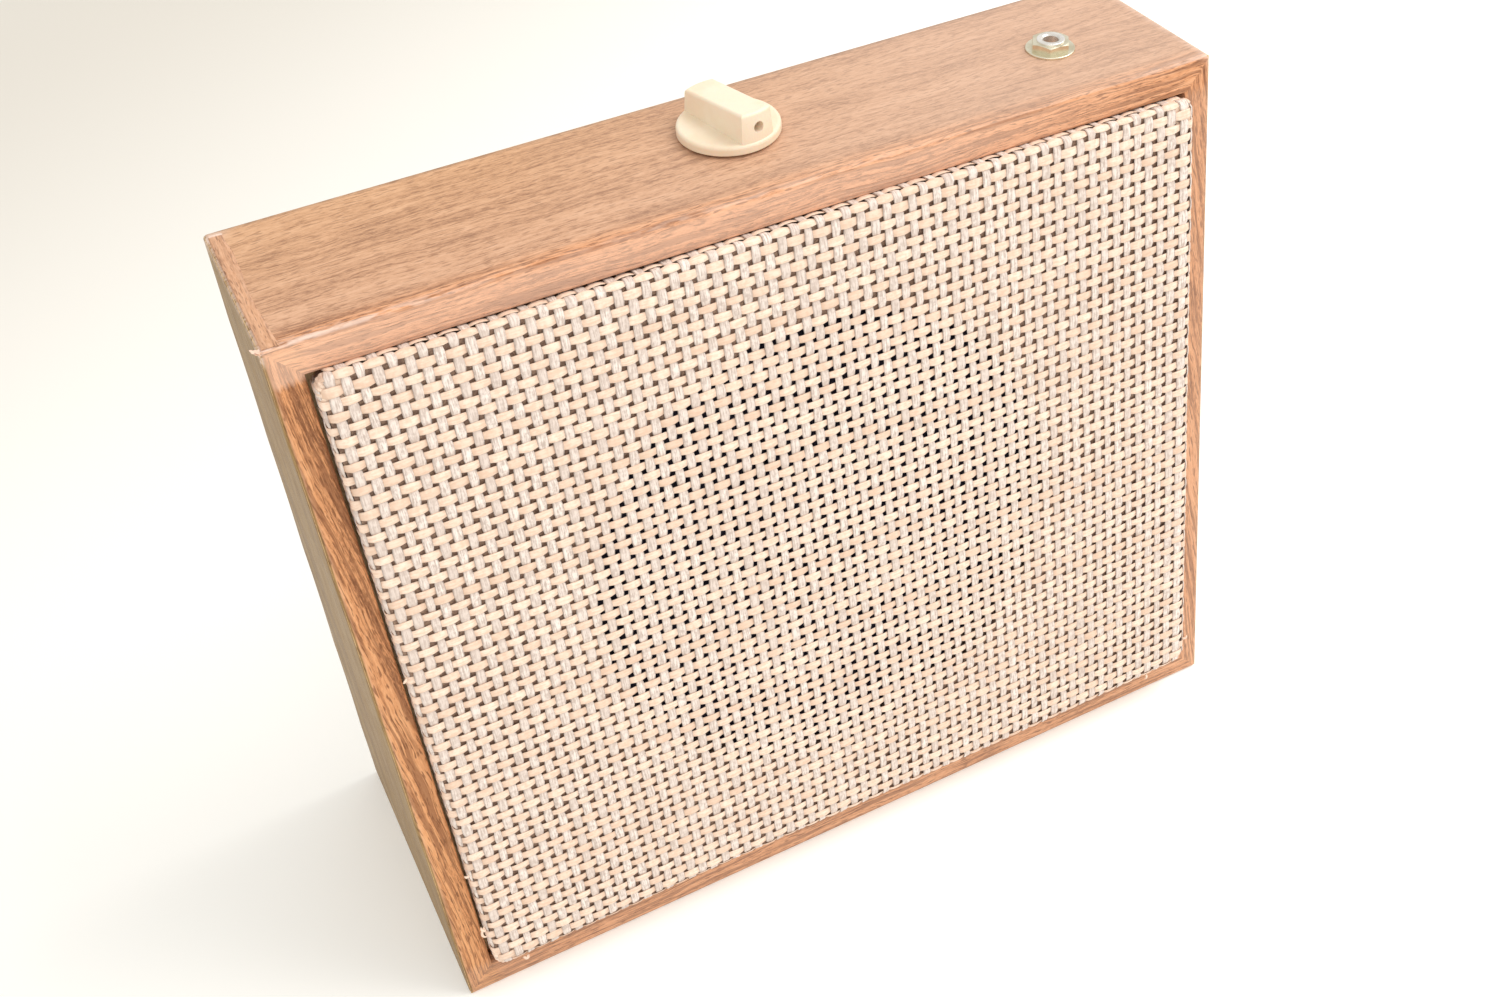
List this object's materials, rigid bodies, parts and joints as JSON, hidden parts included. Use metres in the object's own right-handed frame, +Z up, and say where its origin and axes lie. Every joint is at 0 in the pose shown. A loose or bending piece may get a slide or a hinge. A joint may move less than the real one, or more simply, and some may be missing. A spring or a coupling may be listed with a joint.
{
  "type": "tabletop transistor radio",
  "caption": "Sloping-front wood-grain cabinet radio with a woven cloth loudspeaker front, a volume knob and an earphone jack on top.",
  "frame": {"origin": "middle of the flat underside", "axes": "+X to the viewer's right, +Y from the cloth front to the back, +Z up"},
  "size_m": [0.216, 0.0795, 0.181],
  "materials": {
    "birch_plywood": "sanded plywood",
    "woodgrain_vinyl": "wood-grain printed vinyl, satin",
    "hardboard": "brown hardboard",
    "grille_cloth": "open plain weave of flat white and peach strands",
    "zinc_steel": "bright zinc",
    "speaker_frame_steel": "cadmium-plated pressed steel",
    "cone_paper": "black felted paper",
    "gasket_cork": "pressed cork and paper",
    "spider_cloth": "resin-dipped cloth",
    "ferrite": "dark grey ceramic",
    "copper_wire": "enamelled copper",
    "ivory_plastic": "ivory moulded plastic",
    "nickel": "warm nickel plate",
    "brass": "turned brass",
    "black_plastic": "black moulded plastic",
    "phenolic_board": "brown phenolic board with copper tracks",
    "aluminium_can": "drawn aluminium cans",
    "capacitor_sleeve": "blue plastic sleeve",
    "ceramic_disc": "dipped ceramic",
    "resistor_body": "moulded body with plain colour bands",
    "lamination": "laminated core with tape-wrapped bobbin",
    "battery_case": "plain metal case",
    "lead_plastic": "thin plastic-covered lead"
  },
  "bodies": {
    "cabinet": {"aerial_coil": "copper_wire", "audio_transformers": "lamination", "baffle_battens": "birch_plywood", "baffle_board": "hardboard", "baffle_screws": "zinc_steel", "battery": "battery_case", "battery_clip": "zinc_steel", "battery_connector": "black_plastic", "battery_leads": "lead_plastic", "board_pillars": "brass", "board_screws": "zinc_steel", "bottom_board": "birch_plywood", "circuit_board": "phenolic_board", "cloth_staples": "zinc_steel", "cone_surround": "cone_paper", "control_leads": "lead_plastic", "corner_blocks": "birch_plywood", "disc_capacitors": "ceramic_disc", "electrolytic_capacitors": "capacitor_sleeve", "ferrite_rod": "ferrite", "grille_cloth": "grille_cloth", "if_transformers": "aluminium_can", "jack_body": "black_plastic", "jack_bushing": "nickel", "jack_nut": "nickel", "jack_switch_contact": "nickel", "jack_washer": "nickel", "left_side_board": "birch_plywood", "magnet_top_plate": "zinc_steel", "magnet_yoke": "zinc_steel", "power_switch": "black_plastic", "preset_capacitor": "black_plastic", "resistors": "resistor_body", "right_side_board": "birch_plywood", "rod_holders": "black_plastic", "speaker_basket": "speaker_frame_steel", "speaker_gasket": "gasket_cork", "speaker_leads": "lead_plastic", "speaker_magnet": "ferrite", "speaker_screws": "zinc_steel", "speaker_tag_strip": "phenolic_board", "spider": "spider_cloth", "top_board": "birch_plywood", "transistors": "aluminium_can", "vinyl_base": "woodgrain_vinyl", "vinyl_wrap": "woodgrain_vinyl", "volume_bushing": "brass", "volume_control_body": "zinc_steel", "volume_nut": "brass", "volume_washer": "zinc_steel"},
    "volume_knob_set": {"volume_shaft": "brass", "volume_knob": "ivory_plastic", "knob_grub_screw": "brass"},
    "rear_cover_set": {"rear_cover": "hardboard", "cover_screws": "zinc_steel"},
    "cone_set": {"speaker_cone": "cone_paper", "dust_cap": "cone_paper", "voice_coil": "copper_wire"},
    "jack_spring": {"jack_tip_spring": "nickel"},
    "preset_set": {"preset_spindle": "brass"}
  },
  "joints": [
    {"name": "volume_turn", "type": "hinge", "parent": "cabinet", "child": "volume_knob_set", "pos_m": [0.0009, 0.0196, 0.172], "axis": [0, 0, 1], "range_deg": [-150, 150]},
    {"name": "rear_cover_off", "type": "slide", "parent": "cabinet", "child": "rear_cover_set", "axis": [0, 1, 0], "range_m": [0, 0.04]},
    {"name": "cone_stroke", "type": "slide", "parent": "cabinet", "child": "cone_set", "axis": [0, 0.9831, -0.1829], "range_m": [-0.0015, 0.0015], "stiffness_N_per_m": 800, "deforming": ["cone_surround", "spider"]},
    {"name": "jack_spring_flex", "type": "hinge", "parent": "cabinet", "child": "jack_spring", "pos_m": [0.083, 0.0146, 0.158], "axis": [0, 1, 0], "range_deg": [0, 6], "stiffness_Nm_per_rad": 0.3},
    {"name": "preset_turn", "type": "hinge", "parent": "cabinet", "child": "preset_set", "pos_m": [-0.062, 0.03, 0.0283], "axis": [0, 1, 0], "range_deg": [0, 180]}
  ]
}
